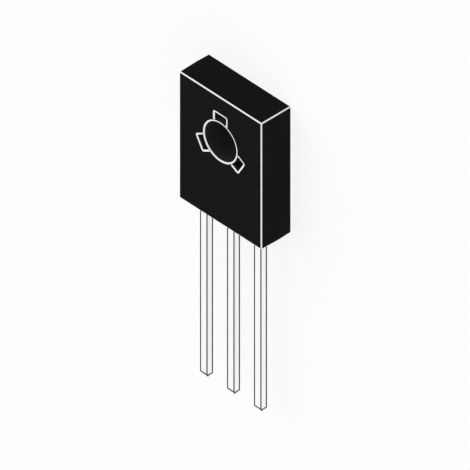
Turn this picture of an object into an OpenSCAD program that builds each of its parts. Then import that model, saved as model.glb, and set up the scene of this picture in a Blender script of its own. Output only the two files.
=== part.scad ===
// Darlington power transistor in the flat three-lead package with a mounting hole.
// It lies on its metal mounting face. Millimetres.
// Origin: centre of the mounting hole, on the mounting face.
// X runs across the body, Y towards the end that has no leads, Z from the mounting face to the front.

/* [Body] */
// Width of the body at its parting line
body_w = 7.8; // [7.4:0.1:8.6]
// Length of the body, along the leads
body_l = 10.5; // [9.6:0.1:11.6]
// Thickness of the body, from the mounting face to the front
body_t = 2.7; // [2.6:0.1:3.2]
// Draft of the moulded walls, in degrees
mould_draft = 1; // [1:1:6]
// Corner radius of the body, seen from the front
corner_r = 0.1; // [0.1:0.05:0.6]
// Radius along the edges of the front and back faces
edge_r = 0.1; // [0.05:0.05:0.3]

/* [Mounting hole] */
// Diameter of the mounting hole
hole_d = 3; // [2.6:0.1:3.2]
// Distance from the hole's centre to the end of the body that has no leads
hole_to_end = 3.7; // [3.6:0.1:4.1]
// Lead-in chamfer at the hole's front edge
hole_chamfer = 0.06; // [0.04:0.02:0.16]
// Number of hold-down pockets round the hole
pocket_n = 3; // [2:1:4]
// Width of a hold-down pocket
pocket_w = 1.1; // [0.8:0.1:1.3]
// Distance from the hole's centre to a pocket's outer wall
pocket_reach = 2.2; // [2.1:0.05:2.4]
// Wall left standing between the hole and a pocket
pocket_wall = 0.2; // [0.15:0.05:0.3]

/* [Mounting tab] */
// Width of the tab at its widest
tab_w = 6.2; // [5.6:0.1:6.6]
// Thickness of the tab
tab_t = 1; // [0.9:0.05:1.15]
// Plastic between the tab and the end of the body that has no leads
tab_head_rim = 1.05; // [0.8:0.05:1.3]
// Plastic between the tab and the end of the body that the leads leave
tab_foot_rim = 1.6; // [1.45:0.05:1.9]
// Hole in the tab, which the plastic lines
tab_hole_d = 3.9; // [3.7:0.1:4.1]
// Corner radius of the tab
tab_corner_r = 0.5; // [0.3:0.1:0.8]
// How far the tab's flange overhangs its exposed face, which locks it in the plastic
lock_step = 0.2; // [0.1:0.05:0.3]
// Height of the exposed part under that flange
lock_h = 0.5; // [0.3:0.05:0.7]

/* [Leads] */
// Width of a lead
lead_w = 0.75; // [0.6:0.05:0.9]
// Thickness of the lead stock
lead_t = 0.5; // [0.4:0.05:0.6]
// Distance between neighbouring leads, centre to centre
lead_pitch = 2.54; // [2.2:0.02:2.8]
// Free length of a lead, from the body to its tip
lead_l = 14.5; // [8:0.1:17]
// Height of the leads' back above the mounting face
lead_back = 1.25; // [1.1:0.05:1.4]
// Length of the coined tip
tip_l = 0.2; // [0.1:0.05:0.6]
// How far the coined tip narrows on each of its four sides
tip_inset = 0.1; // [0.05:0.01:0.18]
// Inner radius of the bends in the centre lead
bend_r = 0.25; // [0.1:0.05:0.4]
// Angle of the offset between the tab and the centre lead, in degrees
bend_angle = 45; // [35:5:60]
// Width of the centre lead's neck, where it joins the tab
neck_w = 1.6; // [1:0.1:2]
// Width of a bonding post
post_w = 1.7; // [1.2:0.1:2]
// Length of a bonding post
post_l = 0.9; // [0.7:0.1:1.1]
// Gap between the tab and a bonding post, along the leads
post_gap = 0.2; // [0.1:0.05:0.3]
// Length over which a post or the neck narrows to the lead's width
post_taper = 0.25; // [0.1:0.05:0.4]

/* [Chip and wires] */
// Side of the square silicon chip
chip_w = 1.9; // [1.4:0.1:2.3]
// Thickness of the chip
chip_t = 0.25; // [0.2:0.01:0.3]
// Thickness of the solder under the chip
solder_t = 0.05; // [0.03:0.01:0.08]
// How far the solder shows round the chip
solder_rim = 0.06; // [0.04:0.02:0.12]
// Diameter of the emitter's wire
emitter_wire_d = 0.25; // [0.15:0.01:0.3]
// Diameter of the base's wire
base_wire_d = 0.15; // [0.1:0.01:0.2]
// Height of a wire's loop above the straight line between its bonds
wire_loop = 0.5; // [0.4:0.05:0.6]
// Distance of the emitter's bond from the middle of the chip, across and along
emitter_bond = [-0.45, -0.35];
// Distance of the base's bond from the middle of the chip, across and along
base_bond = [0.6, 0.1];

/* [Hidden] */

$fn = 64;
arc_steps = 6;                              // straight steps along a rounded corner
past = 0.5;                                 // how far a cut runs past the face that it opens
first_pocket = 90;                          // direction of the first pocket, from +X

body_head_y = hole_to_end;                  // end of the body that has no leads
body_foot_y = hole_to_end - body_l;         // end of the body that the leads leave
body_mid_y = (body_head_y + body_foot_y) / 2;
parting_z = lead_back;                      // the mould closes on the leads' backs
lead_front = lead_back + lead_t;
lead_tip_y = body_foot_y - lead_l;

tab_head_y = body_head_y - tab_head_rim;
tab_foot_y = body_foot_y + tab_foot_rim;
tab_l = tab_head_y - tab_foot_y;
tab_mid_y = (tab_head_y + tab_foot_y) / 2;

post_head_y = tab_foot_y - post_gap;
post_foot_y = post_head_y - post_l;
post_mid_y = (post_head_y + post_foot_y) / 2;

chip_y = (tab_foot_y - tab_hole_d / 2) / 2; // midway between the tab's hole and its foot
chip_back = tab_t + solder_t;
chip_front = chip_back + chip_t;

// The offset bend: two equal arcs with a straight slope between them
bend_mid_r = bend_r + lead_t / 2;
bend_rise = lead_back + lead_t - tab_t;
slope_rise = bend_rise - 2 * bend_mid_r * (1 - cos(bend_angle));
bend_run = 2 * bend_mid_r * sin(bend_angle) + slope_rise / tan(bend_angle);

plastic = [0.09, 0.09, 0.09];
tinned = [0.88, 0.88, 0.87];
silicon = [0.35, 0.37, 0.42];
solder = [0.62, 0.62, 0.6];
aluminium = [0.8, 0.81, 0.83];

// Points along an arc about c, from angle a to angle b
function arc_points(c, r, a, b) =
    [for (i = [0:arc_steps]) let (t = a + (b - a) * i / arc_steps) c + r * [cos(t), sin(t)]];

// A right half mirrored to the left, as one closed outline
function mirrored(half) =
    concat(half, [for (i = [len(half) - 1:-1:0]) [-half[i][0], half[i][1]]]);

// A rectangle with rounded corners, about the origin
function rounded_outline(w, l, r) =
    let (x = w / 2 - r, y = l / 2 - r)
    mirrored(concat(arc_points([x, -y], r, -90, 0), arc_points([x, y], r, 0, 90)));

// The moulded block seen along a side of width w: it widens from both faces to the parting line
function drafted_outline(w) =
    let (
        inset = edge_r / cos(mould_draft),
        low = [w / 2 - (parting_z - edge_r) * tan(mould_draft) - inset, edge_r],
        high = [w / 2 - (body_t - edge_r - parting_z) * tan(mould_draft) - inset, body_t - edge_r]
    )
    mirrored(concat(
        arc_points(low, edge_r, -90, -mould_draft),
        [[w / 2, parting_z]],
        arc_points(high, edge_r, mould_draft, 90)
    ));

// Stamped outline of a lead seen from the front: a head of half-width head_x, then the lead and its tip
function stamped_outline(head_x, head_y, foot_y) =
    mirrored([
        [lead_w / 2 - tip_inset, lead_tip_y],
        [lead_w / 2, lead_tip_y + tip_l],
        [lead_w / 2, foot_y],
        [head_x, foot_y + post_taper],
        [head_x, head_y]
    ]);

// A straight lead seen from the side, as [y, z]
function straight_side(head_y) = [
    [head_y, lead_back],
    [head_y, lead_front],
    [lead_tip_y + tip_l, lead_front],
    [lead_tip_y, lead_front - tip_inset],
    [lead_tip_y, lead_back + tip_inset],
    [lead_tip_y + tip_l, lead_back]
];

// The centre lead seen from the side: it leaves the tab's front and steps up to the other leads
function offset_side(head_y) =
    let (
        first = [tab_foot_y, tab_t - lead_t / 2 + bend_mid_r],
        second = [tab_foot_y - bend_run, lead_back + lead_t / 2 - bend_mid_r],
        inner = bend_mid_r - lead_t / 2,
        outer = bend_mid_r + lead_t / 2
    )
    concat(
        [[head_y, tab_t]],
        arc_points(first, inner, 270, 270 - bend_angle),
        arc_points(second, outer, 90 - bend_angle, 90),
        [
            [lead_tip_y + tip_l, lead_front],
            [lead_tip_y, lead_front - tip_inset],
            [lead_tip_y, lead_back + tip_inset],
            [lead_tip_y + tip_l, lead_back]
        ],
        arc_points(second, inner, 90, 90 - bend_angle),
        arc_points(first, outer, 270 - bend_angle, 270),
        [[head_y, tab_t - lead_t]]
    );

// A strip of metal: stamped to one outline, seen from the front, and formed to another, seen from the side
module formed_strip(stamped, side) {
    widest = max([for (p = stamped) p[0]]);
    intersection() {
        linear_extrude(height = body_t) polygon(stamped);
        translate([-widest, 0, 0]) rotate([90, 0, 90]) linear_extrude(height = 2 * widest) polygon(side);
    }
}

// A lead with a bonding post, on the side that the sign gives
module outer_lead(side) {
    translate([side * lead_pitch, 0, 0])
        formed_strip(stamped_outline(post_w / 2, post_head_y, post_foot_y), straight_side(post_head_y));
}

module emitter_lead() {
    color(tinned) outer_lead(-1);
}

module base_lead() {
    color(tinned) outer_lead(1);
}

// The heat-spreading tab: its flange is wider than its exposed face
module mounting_tab() {
    difference() {
        translate([0, tab_mid_y, 0]) union() {
            linear_extrude(height = tab_t)
                polygon(rounded_outline(tab_w - 2 * lock_step, tab_l - 2 * lock_step, tab_corner_r));
            translate([0, 0, lock_h]) linear_extrude(height = tab_t - lock_h)
                polygon(rounded_outline(tab_w, tab_l, tab_corner_r));
        }
        translate([0, 0, -past]) cylinder(d = tab_hole_d, h = tab_t + 2 * past);
    }
}

module collector_frame() {
    root_y = tab_foot_y + tab_corner_r;
    color(tinned) union() {
        mounting_tab();
        formed_strip(stamped_outline(neck_w / 2, root_y, post_foot_y), offset_side(root_y));
    }
}

module die_solder() {
    side = chip_w + 2 * solder_rim;
    color(solder) translate([-side / 2, chip_y - side / 2, tab_t]) cube([side, side, solder_t]);
}

module darlington_chip() {
    color(silicon) translate([-chip_w / 2, chip_y - chip_w / 2, chip_back]) cube([chip_w, chip_w, chip_t]);
}

// A bond's foot: the end of the wire, pressed flat onto the face below it
module bond_foot(d) {
    foot_l = 2.4 * d;
    foot_w = 1.5 * d;
    translate([-foot_l / 2, -foot_w / 2, 0]) cube([foot_l, foot_w, d]);
}

// A wire of diameter d that arcs from a bond on the chip to a bond on a post
module bond_wire(start, end, d) {
    across = [end[0] - start[0], end[1] - start[1]];
    run = norm(across);
    rise = end[2] - start[2];
    chord = norm([run, rise]);
    radius = (chord * chord / 4 + wire_loop * wire_loop) / (2 * wire_loop);
    half = asin(chord / 2 / radius);
    tilt = atan2(rise, run);
    translate(start) rotate([0, 0, atan2(across[1], across[0])]) union() {
        bond_foot(d);
        translate([run, 0, rise]) bond_foot(d);
        translate([0, 0, d / 2]) rotate([0, -tilt, 0]) translate([chord / 2, 0, wire_loop - radius])
            rotate([90, 0, 0]) rotate([0, 0, 90 - half])
                rotate_extrude(angle = 2 * half) translate([radius, 0]) circle(d = d);
    }
}

module emitter_wire() {
    color(aluminium) bond_wire(
        [emitter_bond[0], chip_y + emitter_bond[1], chip_front],
        [-lead_pitch, post_mid_y, lead_front],
        emitter_wire_d
    );
}

module base_wire() {
    color(aluminium) bond_wire(
        [base_bond[0], chip_y + base_bond[1], chip_front],
        [lead_pitch, post_mid_y, lead_front],
        base_wire_d
    );
}

// The mounting hole with its lead-in
module hole_cut() {
    translate([0, 0, -past]) cylinder(d = hole_d, h = body_t + 2 * past);
    translate([0, 0, body_t - hole_chamfer])
        cylinder(d1 = hole_d, d2 = hole_d + 2 * (hole_chamfer + past), h = hole_chamfer + past);
}

// A pocket left by a mould pin that holds the tab down: a thin wall keeps it apart from the hole
module pocket_cut() {
    difference() {
        translate([0, -pocket_w / 2, tab_t]) cube([pocket_reach, pocket_w, body_t - tab_t + past]);
        translate([0, 0, tab_t - past])
            cylinder(r = hole_d / 2 + pocket_wall, h = body_t - tab_t + 3 * past);
    }
}

// The outside of the moulding: the front view cut by the drafted side and end views
module moulded_block() {
    intersection() {
        translate([0, body_mid_y, 0]) linear_extrude(height = body_t)
            polygon(rounded_outline(body_w, body_l, corner_r));
        translate([0, body_head_y, 0]) rotate([90, 0, 0]) linear_extrude(height = body_l)
            polygon(drafted_outline(body_w));
        translate([-body_w / 2, body_mid_y, 0]) rotate([90, 0, 90]) linear_extrude(height = body_w)
            polygon(drafted_outline(body_l));
    }
}

module moulded_body() {
    color(plastic) difference() {
        moulded_block();
        hole_cut();
        for (i = [0:pocket_n - 1]) rotate([0, 0, first_pocket + i * 360 / pocket_n]) pocket_cut();
        collector_frame();
        emitter_lead();
        base_lead();
        die_solder();
        darlington_chip();
        emitter_wire();
        base_wire();
    }
}

moulded_body();
collector_frame();
emitter_lead();
base_lead();
darlington_chip();
die_solder();
emitter_wire();
base_wire();
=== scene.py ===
"""Dresses a darlington transistor in the flat three-lead package with a mounting hole.

The part lies on its metal mounting face, on a plain white floor. Shapes are built in
millimetres, and finished meshes are in metres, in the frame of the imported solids. The
fields of the pieces are in millimetres, and their angles in degrees.
"""

import logging
import math
from dataclasses import dataclass
from enum import Enum
from typing import Iterable, Sequence

import bmesh
import bpy
from bmesh.types import BMEdge, BMesh, BMFace, BMVert
from mathutils import Matrix, Vector


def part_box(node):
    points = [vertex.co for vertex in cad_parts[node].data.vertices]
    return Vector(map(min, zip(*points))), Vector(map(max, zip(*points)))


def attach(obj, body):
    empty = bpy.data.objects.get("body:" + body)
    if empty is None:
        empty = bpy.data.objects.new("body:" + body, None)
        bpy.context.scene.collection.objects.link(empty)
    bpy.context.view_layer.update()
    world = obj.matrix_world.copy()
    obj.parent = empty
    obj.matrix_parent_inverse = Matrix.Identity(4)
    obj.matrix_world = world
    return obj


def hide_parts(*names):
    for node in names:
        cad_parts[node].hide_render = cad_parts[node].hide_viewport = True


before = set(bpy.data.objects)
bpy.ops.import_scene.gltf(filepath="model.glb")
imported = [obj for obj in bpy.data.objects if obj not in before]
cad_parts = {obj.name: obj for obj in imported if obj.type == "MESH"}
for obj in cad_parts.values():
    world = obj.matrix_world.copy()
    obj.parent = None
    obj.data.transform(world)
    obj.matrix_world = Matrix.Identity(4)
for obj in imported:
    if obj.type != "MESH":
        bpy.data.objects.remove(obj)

LOG = logging.getLogger("darlington")
BODY = "root"

# attributes of the meshes that the finishes read
# the edge tone marks where light is painted along edges, a highlight on the body and a dark
# reflection on the leads, and marks the chip's pads
EDGE_TONE = "edge_tone"
# the wall tone marks the walls of the hole and pockets, which are painted lighter: painted light
# where shade falls in them
WALL_LIGHT_TONE = "painted_wall_light"

# lengths in millimetres, but for MM itself, and an angle in degrees
MM = 0.001
WELD = 0.002
FLAT = 0.001
CUT_REACH = 0.0001
COPLANAR = 0.5
QUARTER = math.pi / 2
FULL_TURN = 2 * math.pi

# noise keeps mostly to this range, and is this on average
NOISE_RANGE = (0.3, 0.7)
NOISE_MEAN = 0.5

# sockets of a Mix node for colours
MIX_COLOURS = (6, 7)
MIX_RESULT = 2

Point = tuple[float, float]
Triple = tuple[float, float, float]
Colour = tuple[float, float, float, float]
Section = tuple[Sequence[Point], float, Sequence[float]]
Socket = bpy.types.NodeSocket


class Slot(Enum):
    """The record's material slots."""

    EPOXY = "epoxy"
    FRAME = "tinned_frame"
    LEAD = "tinned_lead"
    SILICON = "silicon"
    SOLDER = "solder"
    WIRE = "bond_wire"


# ---------------------------------------------------------------- shared mesh helpers


def box_mm(node: str) -> tuple[Vector, Vector]:
    """Gives a solid's lowest and highest corners in millimetres.

    Args:
        node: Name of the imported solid.

    Returns:
        The lowest and the highest corner.
    """
    low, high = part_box(node)
    return low / MM, high / MM


def solid_copy(node: str) -> BMesh:
    """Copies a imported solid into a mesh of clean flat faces, in millimetres.

    Args:
        node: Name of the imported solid.

    Returns:
        The merged copy.
    """
    bm = bmesh.new()
    bm.from_mesh(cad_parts[node].data)
    bmesh.ops.scale(bm, vec=(1 / MM,) * 3, verts=bm.verts)
    bmesh.ops.remove_doubles(bm, verts=bm.verts, dist=FLAT)
    bmesh.ops.dissolve_limit(
        bm, angle_limit=math.radians(COPLANAR), verts=bm.verts, edges=bm.edges
    )
    bm.normal_update()
    return bm


def placed(name: str, data: bpy.types.ID) -> bpy.types.Object:
    """Puts a new object with its data into the scene.

    Args:
        name: Name of the object.
        data: Its mesh, camera or lamp.

    Returns:
        The object, at the origin.
    """
    made = bpy.data.objects.new(name, data)
    bpy.context.scene.collection.objects.link(made)
    return made


def finished(bm: BMesh, name: str, sharp: float) -> bpy.types.Object:
    """Turns a mesh built in millimetres into a piece in metres at the origin.

    Args:
        bm: The mesh, which is freed.
        name: Name of the new piece.
        sharp: Angle in degrees from which an edge is shaded sharp.

    Returns:
        The piece, with smooth shading between its sharp edges.
    """
    bmesh.ops.scale(bm, vec=(MM,) * 3, verts=bm.verts)
    for face in bm.faces:
        face.smooth = True
    mesh = bpy.data.meshes.new(name)
    bm.to_mesh(mesh)
    bm.free()
    mesh.set_sharp_from_angle(angle=math.radians(sharp))
    return placed(name, mesh)


def block(bm: BMesh, low: Vector, high: Vector) -> None:
    """Makes a plain block.

    Args:
        bm: The mesh to build in.
        low: Lowest corner.
        high: Highest corner.
    """
    bmesh.ops.create_cube(bm, size=1.0)
    bmesh.ops.scale(bm, vec=high - low, verts=bm.verts)
    bmesh.ops.translate(bm, vec=(low + high) / 2, verts=bm.verts)


def bevelled(bm: BMesh, edges: Sequence[BMEdge], width: float, steps: int) -> set[BMFace]:
    """Rounds edges, or cuts them off where there is one step.

    Args:
        bm: The mesh.
        edges: The edges to bevel.
        width: How far the bevel reaches from each edge.
        steps: Faces across the bevel.

    Returns:
        The faces of the bevels.
    """
    made = bmesh.ops.bevel(
        bm,
        geom=edges,
        offset=width,
        offset_type="OFFSET",
        affect="EDGES",
        segments=steps,
        profile=0.5,
        material=-1,
        clamp_overlap=False,
    )
    return set(made["faces"])


def lofted(bm: BMesh, sections: Sequence[Section]) -> None:
    """Draws a closed outline and extrudes it from section to section.

    Args:
        bm: The mesh to build in.
        sections: For each section its outline, its height and the edge tone of each
            corner. The outlines have the same number of corners.
    """
    layer = bm.verts.layers.float[EDGE_TONE]
    outline, z, tones = sections[0]
    verts = [bm.verts.new((x, y, z)) for x, y in outline]
    edges = [bm.edges.new(pair) for pair in zip(verts, verts[1:] + verts[:1])]
    for vert, tone in zip(verts, tones):
        vert[layer] = tone
    for outline, z, tones in sections[1:]:
        order = {vert.co.to_tuple(): i for i, vert in enumerate(verts)}
        made = bmesh.ops.extrude_edge_only(bm, edges=edges)["geom"]
        verts = sorted(
            (g for g in made if isinstance(g, BMVert)), key=lambda v: order[v.co.to_tuple()]
        )
        fresh = set(verts)
        edges = [g for g in made if isinstance(g, BMEdge) and fresh.issuperset(g.verts)]
        for vert, (x, y), tone in zip(verts, outline, tones):
            vert.co = (x, y, z)
            vert[layer] = tone


def rounded_rectangle(low: Point, high: Point, radius: float, steps: int = 6) -> list[Point]:
    """Gives the outline of a rectangle with rounded corners.

    Args:
        low: Lowest corner.
        high: Highest corner.
        radius: Corner radius.
        steps: Straight steps along each corner.

    Returns:
        The outline, counterclockwise.
    """
    centres = (
        (high[0] - radius, high[1] - radius),
        (low[0] + radius, high[1] - radius),
        (low[0] + radius, low[1] + radius),
        (high[0] - radius, low[1] + radius),
    )
    return [
        (
            x + radius * math.cos(QUARTER * (corner + i / steps)),
            y + radius * math.sin(QUARTER * (corner + i / steps)),
        )
        for corner, (x, y) in enumerate(centres)
        for i in range(steps + 1)
    ]


def ring_cut(
    bm: BMesh, place: float, axis: str, faces: Sequence[BMFace] | None = None
) -> list[BMFace]:
    """Cuts edges along a plane, round the whole mesh or over a few faces.

    Args:
        bm: The mesh.
        place: Where the plane stands along its axis.
        axis: The axis that the plane is square to: x, y or z.
        faces: The faces to cut, or none for the whole mesh.

    Returns:
        The faces on both sides of the plane.
    """
    across = Vector([float(letter == axis) for letter in "xyz"])
    chosen = bm.faces if faces is None else faces
    near = dict.fromkeys(g for f in chosen for g in (f, *f.edges, *f.verts))
    cut = bmesh.ops.bisect_plane(
        bm, geom=list(near), dist=CUT_REACH, plane_co=across * place, plane_no=across
    )
    return [g for g in cut["geom"] if isinstance(g, BMFace)]


def level_edges(bm: BMesh, z: float) -> list[BMEdge]:
    """Gives the open edges that lie at one height.

    Args:
        bm: The mesh.
        z: The height.

    Returns:
        Edges with fewer than two faces and both ends at that height.
    """
    return [
        e
        for e in bm.edges
        if len(e.link_faces) < 2 and all(abs(v.co.z - z) < FLAT for v in e.verts)
    ]


# ---------------------------------------------------------------- shader helpers


class ShaderTree:
    """A short way to place and link nodes in a material, a group or the world."""

    def __init__(self, tree: bpy.types.NodeTree) -> None:
        """Keeps the tree and clears it."""
        self.tree = tree
        self.tree.nodes.clear()

    def node(self, kind: str, **settings: object) -> bpy.types.Node:
        """Adds a node.

        Args:
            kind: The node's type name, after the prefix ShaderNode.
            **settings: The node's own properties.

        Returns:
            The node.
        """
        made = self.tree.nodes.new(f"ShaderNode{kind}")
        for name, value in settings.items():
            setattr(made, name, value)
        return made

    def link(self, start: Socket, end: Socket) -> None:
        """Links an output to an input."""
        self.tree.links.new(start, end)

    def feed(self, socket: Socket, value: float | Colour | Socket) -> None:
        """Links a socket to an input, or sets the input to a plain value.

        Args:
            socket: The input.
            value: The output to link, or the number or colour to set.
        """
        if isinstance(value, Socket):
            self.link(value, socket)
        else:
            socket.default_value = value

    def ramp(self, value: Socket, start: Point, end: Point) -> Socket:
        """Maps a value smoothly from one range to another.

        Args:
            value: The value to map.
            start: Range that the value comes from.
            end: Range that it goes to.

        Returns:
            The mapped value.
        """
        made = self.node("MapRange", interpolation_type="SMOOTHSTEP")
        for name, number in zip(("From Min", "From Max", "To Min", "To Max"), (*start, *end)):
            made.inputs[name].default_value = number
        self.link(value, made.inputs["Value"])
        return made.outputs["Result"]

    def mixed(self, factor: Socket, first: Colour | Socket, second: Colour | Socket) -> Socket:
        """Mixes two colours, each given as numbers or as a socket.

        Args:
            factor: Share of the second colour.
            first: The first colour.
            second: The second colour.

        Returns:
            The mixed colour.
        """
        made = self.node("Mix", data_type="RGBA")
        self.link(factor, made.inputs["Factor"])
        for index, colour in zip(MIX_COLOURS, (first, second)):
            self.feed(made.inputs[index], colour)
        return made.outputs[MIX_RESULT]

    def math(self, operation: str, *values: float | Socket) -> Socket:
        """Works out a value from numbers and sockets.

        Args:
            operation: The Math node's operation.
            *values: Its inputs, in order.

        Returns:
            The result.
        """
        made = self.node("Math", operation=operation)
        for socket, value in zip(made.inputs, values):
            self.feed(socket, value)
        return made.outputs[0]


def new_group(
    name: str, inputs: Iterable[tuple[str, str, float]], outputs: Iterable[tuple[str, str]]
) -> tuple[bpy.types.NodeTree, ShaderTree, bpy.types.Node, bpy.types.Node]:
    """Starts a shader node group with named sockets.

    Args:
        name: Name of the group.
        inputs: Name, socket type and default of each input; a vector has no default.
        outputs: Name and socket type of each output.

    Returns:
        The group, its nodes, its input node and its output node.
    """
    group = bpy.data.node_groups.new(name, "ShaderNodeTree")
    for label, kind, default in inputs:
        socket = group.interface.new_socket(label, in_out="INPUT", socket_type=kind)
        if kind == "NodeSocketFloat":
            socket.default_value = default
    for label, kind in outputs:
        group.interface.new_socket(label, in_out="OUTPUT", socket_type=kind)
    tree = ShaderTree(group)
    start = group.nodes.new("NodeGroupInput")
    end = group.nodes.new("NodeGroupOutput")
    return group, tree, start, end


@dataclass(frozen=True)
class EdgeLine:
    """The band along an edge in another tone, where light is painted: a highlight on the black
    body and a dark reflection on the tin; the chip's pads use it too.
    """

    name: str = "edge_line"

    def group(self) -> bpy.types.NodeTree:
        """Gives the group, which is built at the first call.

        Returns:
            A group that turns a mesh's edge tone into a mask with a slightly broken border.
        """
        if self.name in bpy.data.node_groups:
            return bpy.data.node_groups[self.name]
        value = "NodeSocketFloat"
        group, tree, start, end = new_group(
            self.name,
            (
                ("Vector", "NodeSocketVector", 0.0),
                ("Tone", value, 0.0),
                ("Break Scale", value, 4000.0),
                ("Break Amount", value, 0.2),
                ("Start", value, 0.4),
                ("End", value, 0.6),
            ),
            (("Mask", value),),
        )
        noise = tree.node("TexNoise")
        tree.link(start.outputs["Vector"], noise.inputs["Vector"])
        tree.link(start.outputs["Break Scale"], noise.inputs["Scale"])
        shift = tree.math("SUBTRACT", noise.outputs["Fac"], NOISE_MEAN)
        shift = tree.math("MULTIPLY", shift, start.outputs["Break Amount"])
        tone = tree.math("ADD", start.outputs["Tone"], shift)
        step = tree.node("MapRange", interpolation_type="SMOOTHSTEP")
        tree.link(tone, step.inputs["Value"])
        tree.link(start.outputs["Start"], step.inputs["From Min"])
        tree.link(start.outputs["End"], step.inputs["From Max"])
        tree.link(step.outputs["Result"], end.inputs["Mask"])
        return group


@dataclass(frozen=True)
class FineGrain:
    """Grain in two sizes, as a moulded, plated or sawn surface has."""

    name: str = "fine_grain"
    fine_detail: float = 3.0
    slow_detail: float = 2.0

    def group(self) -> bpy.types.NodeTree:
        """Gives the group, which is built at the first call.

        Returns:
            A group that gives a fine height and a slow change over a vector.
        """
        if self.name in bpy.data.node_groups:
            return bpy.data.node_groups[self.name]
        value = "NodeSocketFloat"
        group, tree, start, end = new_group(
            self.name,
            (
                ("Vector", "NodeSocketVector", 0.0),
                ("Fine Scale", value, 12000.0),
                ("Slow Scale", value, 900.0),
            ),
            (("Height", value), ("Slow", value)),
        )
        for scale, socket, detail in (
            ("Fine Scale", "Height", self.fine_detail),
            ("Slow Scale", "Slow", self.slow_detail),
        ):
            noise = tree.node("TexNoise")
            noise.inputs["Detail"].default_value = detail
            tree.link(start.outputs["Vector"], noise.inputs["Vector"])
            tree.link(start.outputs[scale], noise.inputs["Scale"])
            tree.link(noise.outputs["Fac"], end.inputs[socket])
        return group


@dataclass(frozen=True)
class SurfaceFinish:
    """What the finishes share: a grained surface with a line of another tone along its edges,
    which is a painted highlight on the black body and a painted dark reflection on the tin.

    The scales are in cells for each metre and the relief is in millimetres. The wall light
    colour is painted light, laid on the walls of the hole and pockets, where shade falls.
    """

    name: str
    dark: Colour
    light: Colour
    # painted light: a highlight along the body's edges and a dark reflection along the leads'
    # edges; on the chip the pads' own colour
    edge: Colour
    wall_light_colour: Colour
    rough_low: float
    rough_high: float
    edge_rough: float
    metallic: float
    specular: float
    grain_scale: float
    slow_scale: float
    relief: float
    stretch: Triple = (1.0, 1.0, 1.0)
    fine_share: float = 0.7
    slow_share: float = 0.3
    line_start: float = 0.4
    line_end: float = 0.6
    break_scale: float = 4000.0
    break_amount: float = 0.2

    def material(self) -> bpy.types.Material:
        """Builds the material.

        Returns:
            The material, which reads Object coordinates and the mesh's own tones.
        """
        made = bpy.data.materials.new(self.name)
        made.use_nodes = True
        tree = ShaderTree(made.node_tree)
        surface = tree.node("BsdfPrincipled")
        out = tree.node("OutputMaterial")
        tree.link(surface.outputs["BSDF"], out.inputs["Surface"])
        where = tree.node("TexCoord").outputs["Object"]
        height, slow = self._grain(tree, where)
        mask = self._line(tree, where)
        tree.link(self._colour(tree, height, slow, mask), surface.inputs["Base Color"])
        tree.link(self._roughness(tree, slow, mask), surface.inputs["Roughness"])
        surface.inputs["Metallic"].default_value = self.metallic
        surface.inputs["Specular IOR Level"].default_value = self.specular
        bump = tree.node("Bump")
        bump.inputs["Distance"].default_value = self.relief * MM
        tree.link(height, bump.inputs["Height"])
        tree.link(bump.outputs["Normal"], surface.inputs["Normal"])
        return made

    def _grain(self, tree: ShaderTree, where: Socket) -> tuple[Socket, Socket]:
        """Places the grain, stretched along the way that the surface was drawn.

        Args:
            tree: The nodes to build in.
            where: The coordinates.

        Returns:
            The grain's height and its slow change.
        """
        mapping = tree.node("Mapping")
        mapping.inputs["Scale"].default_value = self.stretch
        tree.link(where, mapping.inputs["Vector"])
        grain = tree.node("Group", node_tree=FineGrain().group())
        tree.link(mapping.outputs["Vector"], grain.inputs["Vector"])
        grain.inputs["Fine Scale"].default_value = self.grain_scale
        grain.inputs["Slow Scale"].default_value = self.slow_scale
        return grain.outputs["Height"], grain.outputs["Slow"]

    def _line(self, tree: ShaderTree, where: Socket) -> Socket:
        """Places the line along the edges.

        Args:
            tree: The nodes to build in.
            where: The coordinates.

        Returns:
            The line's mask.
        """
        tone = tree.node("Attribute", attribute_name=EDGE_TONE)
        line = tree.node("Group", node_tree=EdgeLine().group())
        tree.link(where, line.inputs["Vector"])
        tree.link(tone.outputs["Fac"], line.inputs["Tone"])
        line.inputs["Break Scale"].default_value = self.break_scale
        line.inputs["Break Amount"].default_value = self.break_amount
        line.inputs["Start"].default_value = self.line_start
        line.inputs["End"].default_value = self.line_end
        return line.outputs["Mask"]

    def _colour(self, tree: ShaderTree, height: Socket, slow: Socket, mask: Socket) -> Socket:
        """Mixes the face's two tones by the grain, lays the painted wall light over them, and
        lays the edge's colour over all, which is painted light along edges and the pads' own
        colour on the chip.

        Args:
            tree: The nodes to build in.
            height: The grain's height.
            slow: The grain's slow change.
            mask: The edge line's mask.

        Returns:
            The colour.
        """
        share = tree.math(
            "ADD",
            tree.ramp(height, NOISE_RANGE, (0.0, self.fine_share)),
            tree.ramp(slow, NOISE_RANGE, (0.0, self.slow_share)),
        )
        lit_walls = tree.node("Attribute", attribute_name=WALL_LIGHT_TONE)
        face = tree.mixed(share, self.dark, self.light)
        # painted light: the marked walls of the hole and pockets take a lighter colour
        face = tree.mixed(lit_walls.outputs["Fac"], face, self.wall_light_colour)
        # the edge line's colour paints a highlight on the body and a dark reflection on the tin
        return tree.mixed(mask, face, self.edge)

    def _roughness(self, tree: ShaderTree, slow: Socket, mask: Socket) -> Socket:
        """Varies the face's roughness slowly, and gives the edge line its own.

        Args:
            tree: The nodes to build in.
            slow: The grain's slow change.
            mask: The edge line's mask.

        Returns:
            The roughness.
        """
        face = tree.ramp(slow, NOISE_RANGE, (self.rough_low, self.rough_high))
        face = tree.math("MULTIPLY", tree.math("SUBTRACT", 1.0, mask), face)
        return tree.math("ADD", face, tree.math("MULTIPLY", mask, self.edge_rough))


def grey(level: float, warmth: float = 0.0) -> Colour:
    """Gives an opaque grey, with a little more red and less blue for warmth."""
    return (level * (1 + warmth), level, level * (1 - warmth), 1.0)


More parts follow.
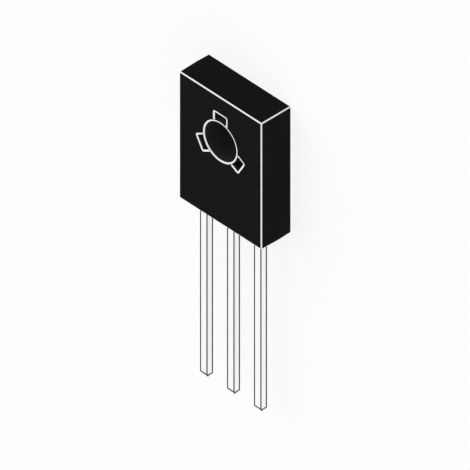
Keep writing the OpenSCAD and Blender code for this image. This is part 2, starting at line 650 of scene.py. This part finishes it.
EPOXY = SurfaceFinish(
    name="black_epoxy",
    dark=grey(0.0025),
    light=grey(0.006),
    # painted highlight: near white lines along the block's rounded edges and round its hole and
    # pockets
    edge=grey(0.92),
    # painted light on the walls of the hole and pockets, lighter than the face
    wall_light_colour=grey(0.028),
    rough_low=0.5,
    rough_high=0.62,
    edge_rough=0.45,
    metallic=0.0,
    specular=0.022,
    grain_scale=11000.0,
    slow_scale=700.0,
    relief=0.004,
    line_start=0.22,
    line_end=0.42,
    break_amount=0.12,
)
TIN = SurfaceFinish(
    name="matte_tin",
    dark=grey(0.91, 0.002),
    light=grey(0.98, 0.002),
    # painted shade: a near black dark reflection along the leads' edges and round their tips
    edge=grey(0.02),
    wall_light_colour=grey(0.9),
    rough_low=0.3,
    rough_high=0.42,
    edge_rough=0.5,
    metallic=1.0,
    specular=0.5,
    grain_scale=14000.0,
    slow_scale=1600.0,
    relief=0.002,
    stretch=(1.0, 0.08, 1.0),
    line_start=0.25,
    line_end=0.45,
    break_amount=0.15,
)
SILICON = SurfaceFinish(
    name="silicon",
    dark=(0.09, 0.1, 0.13, 1.0),
    light=(0.14, 0.15, 0.19, 1.0),
    edge=grey(0.78),
    wall_light_colour=grey(0.12),
    rough_low=0.12,
    rough_high=0.2,
    edge_rough=0.4,
    metallic=0.6,
    specular=0.5,
    grain_scale=9000.0,
    slow_scale=2000.0,
    relief=0.0005,
)
SOLDER = SurfaceFinish(
    name="soft_solder",
    dark=grey(0.36, 0.01),
    light=grey(0.5, 0.01),
    edge=grey(0.4),
    wall_light_colour=grey(0.4),
    rough_low=0.35,
    rough_high=0.5,
    edge_rough=0.4,
    metallic=1.0,
    specular=0.5,
    grain_scale=8000.0,
    slow_scale=1500.0,
    relief=0.003,
)
ALUMINIUM = SurfaceFinish(
    name="aluminium_wire",
    dark=grey(0.68, -0.005),
    light=grey(0.8, -0.005),
    edge=grey(0.6),
    wall_light_colour=grey(0.7),
    rough_low=0.2,
    rough_high=0.3,
    edge_rough=0.3,
    metallic=1.0,
    specular=0.5,
    grain_scale=16000.0,
    slow_scale=2500.0,
    relief=0.001,
)


# ---------------------------------------------------------------- the pieces


@dataclass
class Piece:
    """What the pieces share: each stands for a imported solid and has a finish."""

    node: str
    name: str
    slot: Slot

    def build(self) -> bpy.types.Object:
        """Builds the piece, which each kind does in its own way."""
        raise NotImplementedError

    def dress(self, made: bpy.types.Object, material: bpy.types.Material) -> None:
        """Gives the built piece its finish and puts it in the place of its solid.

        Args:
            made: The finished mesh's object.
            material: Its material.
        """
        made.data.materials.clear()
        made.data.materials.append(material)
        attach(made, BODY)
        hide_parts(self.node)
        LOG.info("%s: %d faces for %s", made.name, len(made.data.polygons), self.node)


@dataclass
class MouldedBody(Piece):
    """The black epoxy block with its hole, hold-down pockets and seat for the tab."""

    node: str = "moulded_body"
    name: str = "moulded_block"
    slot: Slot = Slot.EPOXY
    sharp: float = 25.0
    draft: float = 1.0
    parting: float = 1.25
    edge_radius: float = 0.1
    edge_steps: int = 8
    support: float = 0.04
    seam_half: float = 0.02
    seam_depth: float = 0.012
    bore_radius: float = 1.5
    bore_steps: int = 132
    bore_rim: float = 0.05
    bore_lip: float = 0.3
    bore_highlight: float = 0.06
    lining_radius: float = 1.95
    rim_steps: int = 4
    line_fade: float = 0.01
    pocket_directions: tuple[float, ...] = (90.0, 210.0, 330.0)
    pocket_width: float = 1.1
    pocket_reach: float = 2.2
    pocket_inner: float = 1.7
    pocket_corner: float = 0.05
    pocket_rim: float = 0.04
    pocket_highlight: float = 0.08
    pocket_inner_room: float = 0.04
    arc_steps: int = 5
    crossing_steps: int = 6
    corner_steps: int = 3
    tab_front: float = 1.0
    tab_flange_back: float = 0.5
    tab_low: Point = (-3.1, -5.2)
    tab_high: Point = (3.1, 2.65)
    tab_corner: float = 0.5
    tab_step: float = 0.2

    def __post_init__(self) -> None:
        """Reads the block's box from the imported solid."""
        self.low, self.high = box_mm(self.node)
        self.front = self.high.z

    def wall_inset(self, z: float) -> float:
        """Gives how far the drafted walls stand in from the parting line at a height."""
        return abs(z - self.parting) * math.tan(math.radians(self.draft))

    def build(self) -> bpy.types.Object:
        """Builds the block.

        Returns:
            The finished piece.
        """
        bm = bmesh.new()
        bm.verts.layers.float.new(EDGE_TONE)
        self._shell(bm)
        self._open_caps(bm)
        self._bore(bm)
        for direction in self.pocket_directions:
            self._pocket(bm, math.radians(direction))
        self._tab_seat(bm)
        bmesh.ops.remove_doubles(bm, verts=bm.verts, dist=WELD)
        self._close(bm)
        bmesh.ops.recalc_face_normals(bm, faces=bm.faces)
        self._mark_lit_walls(bm)
        return finished(bm, self.name, self.sharp)

    def _shell(self, bm: BMesh) -> None:
        """Makes the drafted block with rounded edges and the seam where the mould parts.

        Args:
            bm: The mesh to build in.
        """
        middle = (self.low + self.high) / 2
        block(bm, self.low, self.high)
        ring_cut(bm, self.parting, "z")
        for vert in bm.verts:
            inset = self.wall_inset(vert.co.z)
            vert.co.x -= math.copysign(inset, vert.co.x - middle.x)
            vert.co.y -= math.copysign(inset, vert.co.y - middle.y)
        corners = [
            e for e in bm.edges if any(abs(v.co.z - self.parting) >= FLAT for v in e.verts)
        ]
        rounded = bevelled(bm, corners, self.edge_radius, self.edge_steps)
        flats = [f for f in bm.faces if f not in rounded]
        bmesh.ops.inset_individual(
            bm, faces=flats, thickness=self.support, use_even_offset=True
        )
        ring_cut(bm, self.parting - self.seam_half, "z")
        ring_cut(bm, self.parting + self.seam_half, "z")
        bm.normal_update()
        groove = [v for v in bm.verts if abs(v.co.z - self.parting) < FLAT]
        for vert in groove:
            vert.co -= vert.normal * self.seam_depth
        # the tone paints a highlight along the crests of the rounded edges
        layer = bm.verts.layers.float[EDGE_TONE]
        for vert in bm.verts:
            vert[layer] = self._highlight_tone(vert.co, middle)

    def _highlight_tone(self, place: Vector, middle: Vector) -> float:
        """Gives how near a point is to the crest of a rounded edge, where a highlight is
        painted.

        Args:
            place: The point.
            middle: The middle of the block.

        Returns:
            1 on the crest, and 0 where the rounding meets a flat face.
        """
        half = (self.high - self.low) / 2
        inset = self.wall_inset(place.z)
        depths = sorted(
            (
                half.x - inset - abs(place.x - middle.x),
                half.y - inset - abs(place.y - middle.y),
                half.z - abs(place.z - middle.z),
            )
        )
        return max(0.0, 1.0 - (depths[1] - depths[0]) / self.edge_radius)

    def _open_caps(self, bm: BMesh) -> None:
        """Opens the front and the back inside a narrow flat margin.

        Args:
            bm: The mesh.
        """
        caps = [
            max(
                (f for f in bm.faces if abs(f.calc_center_median().z - z) < FLAT),
                key=lambda f: f.calc_area(),
            )
            for z in (0.0, self.front)
        ]
        bmesh.ops.delete(bm, geom=caps, context="FACES_ONLY")

    def _rim(self, width: float, line: float) -> list[Triple]:
        """Gives the steps of a rounded front rim.

        Args:
            width: Radius of the rounding.
            line: Width of the painted highlight on the flat beside it.

        Returns:
            For each step, how far it stands out from the wall, its depth and its tone, which is
            1 where a highlight is painted.
        """
        flat = [(width + line + self.line_fade, 0.0, 0.0), (width + line, 0.0, 1.0)]
        turn = [QUARTER * i / self.rim_steps for i in range(self.rim_steps + 1)]
        curve = [
            (width * (1 - math.sin(t)), width * (1 - math.cos(t)), 1.0) for t in turn
        ]
        return [*flat, *curve, (0.0, width + self.line_fade, 0.0)]

    def _bore(self, bm: BMesh) -> None:
        """Spins the bore and the ring of plastic that lines the tab's hole.

        Args:
            bm: The mesh to build in.
        """
        layer = bm.verts.layers.float[EDGE_TONE]
        back = self.pocket_rim
        # the tones of 1 paint a highlight round the bore's front rim and on its back edge
        profile = [
            (self.bore_radius + out, self.front - depth, tone)
            for out, depth, tone in self._rim(self.bore_rim, self.bore_highlight)
        ]
        profile += [
            (self.bore_radius, back + self.line_fade, 0.0),
            (self.bore_radius, back, 0.0),
            (self.bore_radius + back * self.bore_lip, back * self.bore_lip, 1.0),
            (self.bore_radius + back, 0.0, 0.0),
            (self.lining_radius, 0.0, 0.0),
            (self.lining_radius, self.tab_front, 0.0),
        ]
        verts = [bm.verts.new((radius, 0.0, z)) for radius, z, _ in profile]
        for vert, (_, _, tone) in zip(verts, profile):
            vert[layer] = tone
        edges = [bm.edges.new(pair) for pair in zip(verts, verts[1:])]
        bmesh.ops.spin(
            bm,
            geom=verts + edges,
            cent=(0.0, 0.0, 0.0),
            axis=(0.0, 0.0, 1.0),
            angle=FULL_TURN,
            steps=self.bore_steps,
            use_merge=True,
        )

    def _pocket_margin(self) -> float:
        """Gives how far a pocket's painted highlight line stands out from its walls."""
        return self.pocket_rim + self.pocket_highlight + self.line_fade

    def _pocket_outline(self, direction: float, grow: float) -> list[Point]:
        """Gives the outline of a pocket.

        Args:
            direction: Angle of the pocket about the hole, in radians.
            grow: How far the outline stands out from the pocket's walls.

        Returns:
            The outline, in order.
        """
        side = self.pocket_width / 2 + grow
        spread = min(1.0, grow / self._pocket_margin())
        inner = self.pocket_inner - self.pocket_inner_room * spread
        half_arc = math.asin(side / inner)
        far = self.pocket_reach + grow
        corner = self.pocket_corner + grow
        half = [
            (
                inner * math.cos(half_arc * i / self.arc_steps),
                inner * math.sin(half_arc * i / self.arc_steps),
            )
            for i in range(self.arc_steps + 1)
        ]
        crossing_angle = self.crossing_steps * FULL_TURN / self.bore_steps
        half.append((self.lining_radius * math.cos(crossing_angle), side))
        half += [
            (
                far - corner + corner * math.sin(QUARTER * i / self.corner_steps),
                side - corner + corner * math.cos(QUARTER * i / self.corner_steps),
            )
            for i in range(self.corner_steps + 1)
        ]
        outline = [*half, *((u, -v) for u, v in reversed(half[1:]))]
        cos, sin = math.cos(direction), math.sin(direction)
        return [(u * cos - v * sin, u * sin + v * cos) for u, v in outline]

    def _pocket_tones(self, tone: float) -> list[float]:
        """Gives a tone for each corner of a pocket's outline, which paints a highlight along the
        rim, with none along the ring wall.

        Args:
            tone: The tone away from the ring wall.

        Returns:
            The tones, in the outline's order.
        """
        arc_end, crossing, corner = 1, 1, self.corner_steps + 1
        half = [0.0] * self.arc_steps + [tone] * (arc_end + crossing + corner)
        return [*half, *reversed(half[1:])]

    def _pocket(self, bm: BMesh, direction: float) -> None:
        """Makes the walls of a pocket, from its rim down to the tab.

        Args:
            bm: The mesh to build in.
            direction: Angle of the pocket about the hole, in radians.
        """
        sections: list[Section] = [
            (self._pocket_outline(direction, out), self.front - depth, self._pocket_tones(tone))
            for out, depth, tone in self._rim(self.pocket_rim, self.pocket_highlight)
        ]
        foot = self._pocket_outline(direction, 0.0)
        sections.append((foot, self.tab_front, self._pocket_tones(0.0)))
        lofted(bm, sections)

    def _tab_seat(self, bm: BMesh) -> None:
        """Makes the walls of the seat that the tab lies in, open at the back.

        Args:
            bm: The mesh to build in.
        """
        step = self.tab_step
        low, high = Vector(self.tab_low), Vector(self.tab_high)
        inner = rounded_rectangle(
            (low.x + step, low.y + step), (high.x - step, high.y - step), self.tab_corner
        )
        outer = rounded_rectangle(self.tab_low, self.tab_high, self.tab_corner)
        plain = [0.0] * len(inner)
        lofted(
            bm,
            [
                (inner, 0.0, plain),
                (inner, self.tab_flange_back, plain),
                (outer, self.tab_flange_back, plain),
                (outer, self.tab_front, plain),
            ],
        )

    def _in_pocket(self, place: Vector, reach: float) -> bool:
        """Tells whether a place is in a pocket, or on its walls.

        Args:
            place: The place, at any depth.
            reach: How far from the hole's middle counts as the pocket.

        Returns:
            Whether it is in one of the pockets.
        """
        for direction in self.pocket_directions:
            turned = Matrix.Rotation(-math.radians(direction), 3, "Z") @ place
            inside = abs(turned.y) < self.pocket_width / 2 + WELD
            if turned.x > 0 and inside and turned.xy.length < reach + WELD:
                return True
        return False

    def _mark_lit_walls(self, bm: BMesh) -> None:
        """Marks the walls of the hole and pockets below the rounded rims, which the finish
        paints lighter: painted light where shade falls.

        Args:
            bm: The mesh.
        """
        layer = bm.verts.layers.float.new(WALL_LIGHT_TONE)
        wall_top = self.front - self.pocket_rim - self.line_fade
        corner = math.hypot(self.pocket_reach, self.pocket_width / 2)
        for vert in bm.verts:
            in_bore = vert.co.xy.length < self.bore_radius + WELD
            below = vert.co.z < wall_top + FLAT
            in_pocket = vert.co.z > self.tab_front - FLAT and self._in_pocket(vert.co, corner)
            vert[layer] = float(below and (in_bore or in_pocket))

    def _close(self, bm: BMesh) -> None:
        """Fills the flat faces between the outlines that are still open.

        Args:
            bm: The mesh.
        """
        level = level_edges(bm, self.tab_front)
        feet = [
            e
            for e in level
            if self._in_pocket((e.verts[0].co + e.verts[1].co) / 2, self.lining_radius)
        ]
        ceiling = [e for e in level if e not in set(feet)]
        for edges in (level_edges(bm, self.front), level_edges(bm, 0.0), feet, ceiling):
            bmesh.ops.triangle_fill(bm, use_beauty=True, use_dissolve=False, edges=edges)


@dataclass
class StampedLead(Piece):
    """A plated piece of the stamped frame, with its edges rolled over by the press."""

    sharp: float = 50.0
    roll: float = 0.03
    roll_steps: int = 2
    # widths of the painted dark reflection along the faces' borders and round the tips
    band: float = 0.09
    tip_band: float = 0.035
    tip_length: float = 0.2
    fade: float = 0.012
    roll_angle: float = 30.0
    broad_normal: float = 0.7
    side_normal: float = 0.3
    narrow: float = 0.2
    lock_length: float = 5.0
    bend_corners: int = 8

    def build(self) -> bpy.types.Object:
        """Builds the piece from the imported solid's own form.

        Returns:
            The finished piece.
        """
        bm = solid_copy(self.node)
        layer = bm.verts.layers.float.new(EDGE_TONE)
        limit = math.radians(self.roll_angle)
        corners = [e for e in bm.edges if e.calc_face_angle(0.0) > limit]
        rolled = bevelled(bm, corners, self.roll, self.roll_steps)
        # every corner starts at tone 1, where the tin's finish paints a dark reflection along
        # the rolled edges
        for vert in bm.verts:
            vert[layer] = 1.0
        low, high = box_mm(self.node)
        tip_end = low.y + self.tip_length
        flats = [
            f for f in bm.faces if f not in rolled and not self._locks(f) and not self._bends(f)
        ]
        tips = [f for f in flats if f.calc_center_median().y < tip_end]
        long = [f for f in flats if f.calc_center_median().y >= tip_end]
        broad = [f for f in long if abs(f.normal.z) > self.broad_normal]
        sides = [f for f in long if abs(f.normal.z) <= self.broad_normal]
        # a strip along each face's border keeps tone 1, painted shade as a dark reflection, and
        # fades to 0 inside
        for faces, band in ((broad, self.band), (sides, self.band), (tips, self.tip_band)):
            for width, tone in ((band, 1.0), (self.fade, 0.0)):
                bmesh.ops.inset_region(
                    bm, faces=faces, thickness=width, use_boundary=True, use_even_offset=True
                )
                for vert in {v for f in faces for v in f.verts}:
                    vert[layer] = tone
        self._clear_side_shade(bm, tip_end, high.z)
        bmesh.ops.triangulate(bm, faces=[f for f in bm.faces if len(f.verts) > 4])
        return finished(bm, self.name, self.sharp)

    def _locks(self, face: BMFace) -> bool:
        """Tells whether a face is the long narrow step that locks the tab in the plastic."""
        around = face.calc_perimeter()
        return around > self.lock_length and 2 * face.calc_area() / around < self.narrow

    def _bends(self, face: BMFace) -> bool:
        """Tells whether a face is a side of the bent neck, with a corner for each step."""
        return len(face.verts) > self.bend_corners and abs(face.normal.z) < FLAT

    def _clear_side_shade(self, bm: BMesh, tip_end: float, front: float) -> None:
        """Takes the painted dark reflection off the sides next to the front.

        Args:
            bm: The mesh.
            tip_end: How far the coined tip reaches along the lead.
            front: Height of the front face.
        """
        layer = bm.verts.layers.float[EDGE_TONE]
        start = tip_end + self.band
        end = start + self.fade
        for y in (start, end):
            ring_cut(bm, y, "y")
        bm.normal_update()
        reach = self.roll + self.band + FLAT
        for face in bm.faces:
            if abs(face.normal.x) <= self.side_normal or abs(face.normal.y) >= self.side_normal:
                continue
            for vert in face.verts:
                if vert.co.y > end - FLAT and FLAT < front - vert.co.z < reach:
                    vert[layer] = 0.0


@dataclass
class DarlingtonChip(Piece):
    """The sawn silicon chip, with the metal pads of its two transistors on top."""

    node: str = "darlington_chip"
    name: str = "chip_with_pads"
    slot: Slot = Slot.SILICON
    sharp: float = 20.0
    saw_edge: float = 0.012
    street: float = 0.07
    pad_gap: float = 0.06
    pad_height: float = 0.006
    emitter_side: float = 0.26
    base_low: float = -0.3
    base_high: float = 0.5

    def build(self) -> bpy.types.Object:
        """Builds the chip.

        Returns:
            The finished piece.
        """
        low, high = box_mm(self.node)
        middle = (low + high) / 2
        bm = bmesh.new()
        layer = bm.verts.layers.float.new(EDGE_TONE)
        block(bm, low, high)
        upper = [e for e in bm.edges if all(v.co.z > middle.z for v in e.verts)]
        bevelled(bm, upper, self.saw_edge, 1)
        top = max(bm.faces, key=lambda f: f.calc_center_median().z)
        bmesh.ops.inset_region(bm, faces=[top], thickness=self.street, use_even_offset=True)
        halves = ring_cut(bm, middle.x + self.emitter_side, "x", [top])
        emitter, *rest = sorted(halves, key=lambda f: f.calc_center_median().x)
        for cut in (self.base_low, self.base_high):
            rest = ring_cut(bm, middle.y + cut, "y", rest)
        pads = [emitter, *rest]
        bmesh.ops.inset_individual(
            bm, faces=pads, thickness=self.pad_gap / 2, use_even_offset=True
        )
        raised = {v for f in pads for v in f.verts}
        for vert in bm.verts:
            if vert in raised:
                vert[layer] = 1.0
            elif vert.co.z > high.z - FLAT:
                vert.co.z -= self.pad_height
        return finished(bm, self.name, self.sharp)


@dataclass
class DieSolder(Piece):
    """The soft solder under the chip, which rises to its foot in a hollow fillet."""

    node: str = "die_solder"
    name: str = "solder_layer"
    slot: Slot = Slot.SOLDER
    sharp: float = 40.0
    chip: str = "darlington_chip"
    corner: float = 0.08
    fillet: tuple[Point, ...] = ((0.0, 0.0), (0.3, 0.55), (0.6, 0.85), (1.0, 1.0))

    def build(self) -> bpy.types.Object:
        """Builds the solder.

        Returns:
            The finished piece.
        """
        low, high = box_mm(self.node)
        rim = box_mm(self.chip)[0].x - low.x
        bm = bmesh.new()
        bm.verts.layers.float.new(EDGE_TONE)
        sections: list[Section] = []
        for rise, share in self.fillet:
            inset = rim * share
            outline = rounded_rectangle(
                (low.x + inset, low.y + inset),
                (high.x - inset, high.y - inset),
                self.corner - inset,
            )
            sections.append((outline, low.z + rise * (high.z - low.z), [0.0] * len(outline)))
        lofted(bm, sections)
        for z in (low.z, high.z):
            bmesh.ops.contextual_create(bm, geom=level_edges(bm, z))
        bmesh.ops.recalc_face_normals(bm, faces=bm.faces)
        return finished(bm, self.name, self.sharp)


@dataclass
class BondWire(Piece):
    """An aluminium wire that arches from the chip to a post, with square-ended feet."""

    slot: Slot = Slot.WIRE
    sharp: float = 40.0

    def build(self) -> bpy.types.Object:
        """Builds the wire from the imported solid's own form.

        Returns:
            The finished piece.
        """
        return finished(solid_copy(self.node), self.name, self.sharp)


# ---------------------------------------------------------------- camera and studio


@dataclass
class ViewCamera:
    """A parallel camera that sees the part upright, from its front right and above."""

    azimuth: float = 46.14
    elevation: float = 37.98
    pixels: float = 470.0
    pixels_per_mm: float = 15.32
    origin_pixel: Point = (250.05, 124.29)
    distance: float = 200.0
    clip_metres: Point = (0.01, 2.0)

    def build(self) -> None:
        """Makes the camera and sets it as the scene's."""
        turn, rise = math.radians(self.azimuth), math.radians(self.elevation)
        back = Vector(
            (math.sin(turn) * math.cos(rise), math.sin(rise), math.cos(turn) * math.cos(rise))
        )
        right = Vector((math.cos(turn), 0.0, -math.sin(turn)))
        up = back.cross(right)
        middle = self.pixels / 2
        aim = right * ((middle - self.origin_pixel[0]) / self.pixels_per_mm)
        aim += up * ((self.origin_pixel[1] - middle) / self.pixels_per_mm)
        data = bpy.data.cameras.new("view")
        data.type = "ORTHO"
        data.ortho_scale = self.pixels / self.pixels_per_mm * MM
        data.clip_start, data.clip_end = self.clip_metres
        camera = placed("view", data)
        axes = Matrix((right, up, back)).transposed().to_4x4()
        camera.matrix_world = Matrix.Translation((aim + back * self.distance) * MM) @ axes
        bpy.context.scene.camera = camera


@dataclass
class Studio:
    """A plain white floor, soft lamps and an even white surround, with sizes in metres."""

    floor_half: float = 0.4
    floor_steps: int = 8
    floor_gap: float = 0.00001
    floor_level: float = 0.95
    backdrop_share: float = 0.8
    surround: float = 0.6
    lamp_distance: float = 0.45
    lamp_side: float = 0.7
    key_watts: float = 1.45
    fill_watts: float = 0.8
    key_direction: Triple = (-0.573, 0.553, 0.605)
    fill_direction: Triple = (0.553, -0.605, 0.573)

    def build(self) -> None:
        """Makes the floor, the surround and the lamps."""
        bpy.context.scene.view_settings.view_transform = "Standard"
        self._floor()
        self._world()
        self._lamp("key_lamp", self.key_direction, self.key_watts)
        self._lamp("fill_lamp", self.fill_direction, self.fill_watts)

    @staticmethod
    def _seen(tree: ShaderTree) -> Socket:
        """Tells which rays see the backdrop as plain white.

        Args:
            tree: The nodes to build in.

        Returns:
            1 for camera, glossy and transmission rays, and 0 for the light itself.
        """
        path = tree.node("LightPath")
        seen = tree.math("MAXIMUM", path.outputs["Is Camera Ray"], path.outputs["Is Glossy Ray"])
        return tree.math("MAXIMUM", seen, path.outputs["Is Transmission Ray"])

    def _floor(self) -> None:
        """Makes the floor, which turns white where no shadow lies."""
        bm = bmesh.new()
        bmesh.ops.create_grid(
            bm, x_segments=self.floor_steps, y_segments=self.floor_steps, size=self.floor_half
        )
        mesh = bpy.data.meshes.new("floor")
        bm.to_mesh(mesh)
        bm.free()
        mesh.transform(Matrix.Translation((0.0, 0.0, -self.floor_gap)))
        floor = placed("floor", mesh)
        material = bpy.data.materials.new("floor_white")
        material.use_nodes = True
        tree = ShaderTree(material.node_tree)
        paper = tree.node("BsdfDiffuse")
        paper.inputs["Color"].default_value = grey(self.floor_level)
        glow = tree.node("Emission")
        share = tree.math("MULTIPLY", self._seen(tree), self.backdrop_share)
        mix = tree.node("MixShader")
        out = tree.node("OutputMaterial")
        tree.link(share, mix.inputs[0])
        tree.link(paper.outputs[0], mix.inputs[1])
        tree.link(glow.outputs[0], mix.inputs[2])
        tree.link(mix.outputs[0], out.inputs["Surface"])
        mesh.materials.append(material)

    def _world(self) -> None:
        """Makes the surround, which is seen as white and lights more softly."""
        world = bpy.data.worlds.new("surround")
        world.use_nodes = True
        bpy.context.scene.world = world
        tree = ShaderTree(world.node_tree)
        sky = tree.node("Background")
        sky.inputs["Color"].default_value = grey(1.0)
        out = tree.node("OutputWorld")
        level = tree.ramp(self._seen(tree), (0.0, 1.0), (self.surround, 1.0))
        tree.link(level, sky.inputs["Strength"])
        tree.link(sky.outputs[0], out.inputs["Surface"])

    def _lamp(self, name: str, direction: Triple, watts: float) -> None:
        """Places a soft lamp that shines at the part and isn't mirrored in its metal.

        Args:
            name: Name of the lamp.
            direction: Where it stands, seen from the part.
            watts: Its power.
        """
        light = bpy.data.lights.new(name, "AREA")
        light.shape = "SQUARE"
        light.size = self.lamp_side
        light.energy = watts
        lamp = placed(name, light)
        lamp.visible_glossy = False
        back = Vector(direction).normalized()
        turned = back.to_track_quat("Z", "Y").to_matrix().to_4x4()
        lamp.matrix_world = Matrix.Translation(back * self.lamp_distance) @ turned


def main() -> None:
    """Builds and dresses the part, the camera and the studio."""
    logging.basicConfig(level=logging.INFO, format="%(name)s %(message)s")
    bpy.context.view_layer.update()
    ViewCamera().build()
    Studio().build()
    tin = TIN.material()
    aluminium = ALUMINIUM.material()
    for piece, material in (
        (MouldedBody(), EPOXY.material()),
        (StampedLead("collector_frame", "tab_and_centre_lead", Slot.FRAME), tin),
        (StampedLead("emitter_lead", "left_lead", Slot.LEAD), tin),
        (StampedLead("base_lead", "right_lead", Slot.LEAD), tin),
        (DarlingtonChip(), SILICON.material()),
        (DieSolder(), SOLDER.material()),
        (BondWire("emitter_wire", "emitter_bond_wire"), aluminium),
        (BondWire("base_wire", "base_bond_wire"), aluminium),
    ):
        piece.dress(piece.build(), material)


if __name__ == "__main__":
    main()
